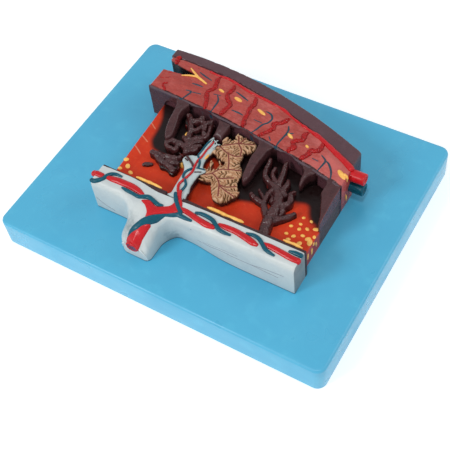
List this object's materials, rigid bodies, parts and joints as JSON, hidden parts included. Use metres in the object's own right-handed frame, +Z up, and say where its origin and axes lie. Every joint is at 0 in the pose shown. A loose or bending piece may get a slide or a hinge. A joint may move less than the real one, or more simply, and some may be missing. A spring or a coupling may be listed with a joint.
{
  "type": "placenta model",
  "caption": "Relief model of a cut placenta and uterine wall section, fixed on a rectangular display board, for teaching.",
  "frame": {"origin": "middle of the board's underside, on the surface that the model stands on", "axes": "+X along the board's long side, +Y from the chorionic plate towards the uterine wall, +Z up"},
  "size_m": [0.3, 0.235, 0.0635],
  "materials": {
    "board": "satin sky blue moulded board",
    "muscle": "hand painted brick red, varnished",
    "outer_layer": "hand painted dark purple brown, satin",
    "basal": "hand painted dark purple brown, varnished",
    "floor": "hand painted orange red, varnished",
    "plate": "pale blue grey, varnished",
    "edge_band": "dark brown paint",
    "artery": "bright red gloss paint",
    "vein": "dark teal gloss paint",
    "stem": "pale blue grey, varnished",
    "cut_villus": "tan with brown wash in the grooves",
    "villus": "dark brown, wet looking varnish",
    "spiral_artery": "deep red gloss paint",
    "yellow": "warm yellow gloss paint"
  },
  "bodies": {
    "root": {"base_board": "board", "uterine_muscle_wall": "muscle", "uterine_outer_layer": "outer_layer", "basal_plate": "basal", "placental_septum_1": "basal", "placental_septum_2": "basal", "placental_septum_3": "basal", "placental_septum_4": "basal", "placental_septum_5": "basal", "blood_space_floor": "floor", "chorionic_plate": "plate", "plate_edge_band_left": "edge_band", "plate_edge_band_right": "edge_band", "plate_artery_left_end": "artery", "plate_artery_left": "artery", "plate_artery_middle": "artery", "plate_artery_right_1": "artery", "plate_artery_right_2": "artery", "plate_artery_right_3": "artery", "cord_artery": "artery", "plate_vein_left_1": "vein", "plate_vein_left_2": "vein", "plate_vein_middle": "vein", "plate_vein_right_1": "vein", "plate_vein_right_2": "vein", "plate_vein_right_3": "vein", "stem_villus": "stem", "stem_artery": "artery", "stem_vein_1": "vein", "stem_vein_2": "vein", "stem_vein_3": "vein", "cut_villus": "cut_villus", "left_villus_tree": "villus", "villus_clump": "villus", "villus_fragment": "villus", "anchoring_villus": "villus", "spiral_artery_1": "spiral_artery", "spiral_artery_2": "spiral_artery", "spiral_artery_3": "spiral_artery", "spiral_artery_4": "spiral_artery", "spiral_artery_5": "spiral_artery", "spiral_artery_6": "spiral_artery", "marginal_artery": "artery", "uterine_artery_stub": "artery", "uterine_vein_stub": "vein", "muscle_gland_1": "yellow", "muscle_gland_2": "yellow", "muscle_gland_3": "yellow", "muscle_gland_4": "yellow", "muscle_gland_5": "yellow", "muscle_gland_6": "yellow", "forked_gland": "yellow", "fibrin_deposit_1": "yellow", "fibrin_deposit_2": "yellow", "fibrin_deposit_3": "yellow"}
  },
  "joints": []
}
